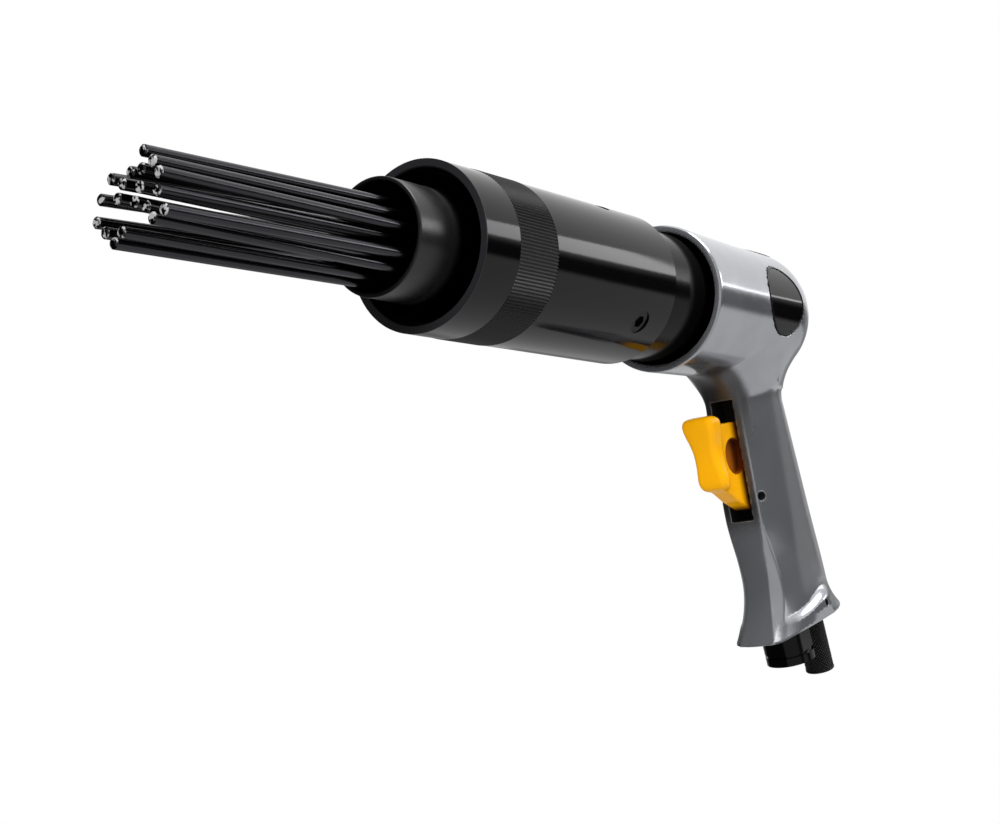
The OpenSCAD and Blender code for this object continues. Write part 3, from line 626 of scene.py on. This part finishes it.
points, faces, normals = surfaceNet(regulatorField, *knob["box"], knob["step"])
regulatorSkin = addPiece("regulator_skin", "regulator", "regulator", points, faces, normals)
grip, below = knurl(*toFoot(*toHandle(points[:, 0], points[:, 2])), points[:, 1])
# The knurl's crests are lighter: wear, and also a painted glint
addTone(regulatorSkin.data, "rub", grip * (1 - ease(below, *knob["rub"])))


# Springs: coils of round wire

returnSpring = dict(
    wire=3.0, turns=8, perTurn=24, sides=10, travel=8.0, joint="carrier_slide",
    lean=0.0, length=None, fixedEnd=1)  # 0 is the back end, 1 the front end
throttleSpring = dict(
    wire=0.8, turns=5, perTurn=24, sides=10, travel=2.31, joint="throttle_push",
    lean=handle["tilt"], length=8.0, fixedEnd=0)


def addSpring(name, node, spring):
    # A ring of wire points carried along a helix: the turn goes round the axis, the lead along it
    low, high = (np.array(corner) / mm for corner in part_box(node))
    length = spring["length"] or high[0] - low[0]  # without a lean the box gives it
    lean = math.radians(spring["lean"])
    axis = np.array((math.cos(lean), 0, -math.sin(lean)))
    across = np.array((-math.sin(lean), 0, -math.cos(lean)))
    third = np.array((0, 1, 0))
    start = (low + high) / 2 * (1, 0, 1) - axis * length / 2
    wire, sides = spring["wire"] / 2, spring["sides"]
    steps = spring["perTurn"] * spring["turns"]
    ring = np.arange(steps + 1)[:, None, None]
    a = 2 * np.pi * ring / spring["perTurn"]
    b = -2 * np.pi * np.arange(sides)[None, :, None] / sides
    outward = np.cos(a) * across + np.sin(a) * third
    along = wire + (length - 2 * wire) * ring / steps
    normals = np.cos(b) * outward + np.sin(b) * axis
    points = start + along * axis + (high[1] - wire) * outward + wire * normals
    i, j = np.meshgrid(np.arange(steps), np.arange(sides), indexing="ij")
    after = (j + 1) % sides
    faces = np.stack([i * sides + j, i * sides + after, (i + 1) * sides + after, (i + 1) * sides + j], -1)
    ends = [list(range(sides))[::-1], list(range(steps * sides, steps * sides + sides))]
    faces = faces.reshape(-1, 4).tolist() + ends
    coil = addPiece(name, node, "tool", points.reshape(-1, 3), faces, normals.reshape(-1, 3))
    fixed = (start + axis * length * spring["fixedEnd"]) * mm
    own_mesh(coil)


addSpring("return_coil", "return_spring", returnSpring)
addSpring("throttle_coil", "throttle_spring", throttleSpring)


# Camera, floor and light, in metres

view = dict(
    lens=58.06, sensor=36, near=0.01, place=(0.34436, 0.28175, -0.11006),
    right=(-0.6055, 0.7919, -0.0797), up=(0.0605, 0.1456, 0.9875), ahead=(-0.7936, -0.5931, 0.1360))
studioFloor = dict(
    height=-0.5, size=8.0, dark=0.59, light=0.61, cloudScale=3.0, rough=0.9, glow=1.035, glowShare=0.95)
sky = dict(light=0.55, seen=1.0)
surround = dict(  # angles in degrees, round from the needles' way and up from level
    radius=1.6, turnStep=3, columns=120, bottom=-89.0, ground=0.49, leastDip=0.01,
    top=8.5, low=-7.0, lowFade=2.0, brightAt=(3.5, 9.5), lift=3.0, liftAt=((147, 154), (172, 182)),
    cardAt=-20.0, cardEdge=(124, 118), cardTop=61.5, cardDrop=73.0,
    sideAt=100.0, sideEdge=(40, 35), sideDrop=6.0, behindAt=205.0, behindEdge=(45, 30),
    cameraSide=((8, 18), (85, 100)),
    dark=0.018, behind=0.25, bright=0.5, camera=0.45, groundTone=0.62)
lamps = dict(
    top=dict(place=(-0.1, 0.35, 0.9), target=(-0.1, 0, 0), size=(0.9, 0.5), power=9, mirrored=True),
    strip=dict(place=(-0.77, 0.59, 0.26), target=(-0.05, 0, 0), size=(0.38, 0.2), power=0.9, mirrored=True),
    line=dict(
        place=(-0.924, 0.393, 0.193), target=(-0.16, 0.02, 0), size=(0.16, 0.022), power=0.035,
        mirrored=True),
    key=dict(place=(0.9, 0.5, 0.5), target=(-0.12, 0, -0.04), size=(0.5, 0.5), power=10.5, mirrored=False))


def setPlace(thing, right, up, ahead, place):  # put there, and turned so that it looks ahead
    rows = [[right[i], up[i], -ahead[i], place[i]] for i in range(3)]
    thing.matrix_world = Matrix(rows + [[0, 0, 0, 1]])


def addCamera():
    data = bpy.data.cameras.new("camera")
    data.lens = view["lens"]
    data.sensor_width = view["sensor"]
    data.clip_start = view["near"]
    camera = addObject("camera", data)
    setPlace(camera, view["right"], view["up"], view["ahead"], view["place"])
    bpy.context.scene.camera = camera


def seenRays(start):  # 1 for rays from the camera, a reflection or through glass, 0 for all other light
    rays = ("Is Camera Ray", "Is Glossy Ray", "Is Transmission Ray")
    camera, glossy, through = (start.node("ShaderNodeLightPath", ray) for ray in rays)
    return start.math("MAXIMUM", start.math("MAXIMUM", camera, glossy), through)


def addFloor():
    # A level square that is white to the camera but for the shadow, and plain grey to the light
    h, d = studioFloor["height"], studioFloor["size"]
    mesh = bpy.data.meshes.new("floor")
    mesh.from_pydata([(-d, -d, h), (d, -d, h), (d, d, h), (-d, d, h)], [], [(0, 1, 2, 3)])
    material, shader, start, place = newMaterial("floor")
    cloud = start.node("ShaderNodeTexNoise", 0, {"Vector": place, "Scale": studioFloor["cloudScale"]})
    grey = cloud.mixColor([studioFloor["dark"]] * 3, [studioFloor["light"]] * 3)
    start.put(shader.inputs["Base Color"], grey)
    shader.inputs["Roughness"].default_value = studioFloor["rough"]
    glow = start.node("ShaderNodeEmission", 0, {"Strength": studioFloor["glow"]})
    share = seenRays(start) * studioFloor["glowShare"]
    both = start.node("ShaderNodeMixShader", 0, {0: share, 1: Sock(start.tree, shader.outputs[0]), 2: glow})
    start.put(start.tree.nodes["Material Output"].inputs[0], both)
    mesh.materials.append(material)
    addObject("floor", mesh)


def sector(turned, middle, edge):  # 1 round about the middle, 0 from the edge on
    limits = [math.cos(math.radians(degrees)) for degrees in edge]
    return ease(np.cos(turned - math.radians(middle)), *limits)


def addSurround():
    # A round studio that only reflections see: each point lies at the radius, or just above the floor.
    # Its wall is dark with a bright upper edge, its ground is grey, and a dark card stands high round
    # the camera's side
    p = surround
    turned = np.radians(np.arange(0, 360, p["turnStep"]))
    turned, share = np.meshgrid(turned, np.linspace(0, 1, p["columns"]), indexing="ij")
    degrees = np.degrees(turned)
    card = sector(turned, p["cardAt"], p["cardEdge"])
    side = sector(turned, p["sideAt"], p["sideEdge"])
    behind = sector(turned, p["behindAt"], p["behindEdge"])
    lift = p["lift"] * between(degrees, *p["liftAt"])
    level = p["bottom"] + (p["top"] + lift + p["cardTop"] * card - p["bottom"]) * share
    e = np.radians(level)
    reach = np.minimum(p["radius"], p["ground"] / np.maximum(-np.sin(e), p["leastDip"]))
    way = np.stack([np.cos(e) * np.cos(turned), np.cos(e) * np.sin(turned), np.sin(e)], -1)
    rows, columns = turned.shape
    i, j = np.meshgrid(np.arange(rows), np.arange(columns - 1), indexing="ij")
    after = (i + 1) % rows
    faces = np.stack([i * columns + j, i * columns + j + 1, after * columns + j + 1, after * columns + j], -1)
    low = p["low"] + lift - p["sideDrop"] * side * (1 - card) - p["cardDrop"] * card
    ground = 1 - ease(level, low - p["lowFade"], low + p["lowFade"])
    bright = ease(level - lift, *p["brightAt"]) * (1 - card)
    tone = p["dark"] + p["behind"] * behind + p["bright"] * bright
    tone = tone + p["camera"] * between(degrees, *p["cameraSide"])
    tone = tone + (p["groundTone"] - tone) * ground
    mesh = bpy.data.meshes.new("surround")
    mesh.from_pydata((reach[..., None] * way).reshape(-1, 3).tolist(), [], faces.reshape(-1, 4).tolist())
    addTone(mesh, "tone", tone.ravel())
    material, _, start, _ = newMaterial("surround")
    shade = start.tone("tone").mixColor((0, 0, 0), (1, 1, 1))
    glow = start.node("ShaderNodeEmission", 0, {"Color": shade, "Strength": 1.0})
    start.put(start.tree.nodes["Material Output"].inputs[0], glow)
    mesh.materials.append(material)
    studio = addObject("surround", mesh)
    studio.visible_camera = False
    studio.visible_diffuse = False
    studio.visible_shadow = False


def addSky():
    world = bpy.data.worlds.new("world")
    bpy.context.scene.world = world
    world.use_nodes = True
    start = Sock(world.node_tree)
    back = world.node_tree.nodes["Background"]
    start.put(back.inputs["Color"], (1, 1, 1, 1))
    start.put(back.inputs["Strength"], sky["light"] + seenRays(start) * (sky["seen"] - sky["light"]))


def addLamp(name, place, target, size, power, mirrored):
    data = bpy.data.lights.new(name, "AREA")
    data.shape = "RECTANGLE"
    data.size, data.size_y = size
    data.energy = power
    lamp = addObject(name, data)
    lamp.visible_glossy = mirrored
    ahead = np.array(target, float) - np.array(place, float)
    ahead /= np.linalg.norm(ahead)
    right = np.cross(ahead, (0, 0, 1))
    right /= np.linalg.norm(right)
    setPlace(lamp, right, np.cross(right, ahead), ahead, place)


addCamera()
addFloor()
addSurround()
addSky()
for lampName, lamp in lamps.items():
    addLamp(lampName, **lamp)
bpy.context.scene.view_settings.view_transform = "Standard"
print("stage with", len(lamps), "lamps")
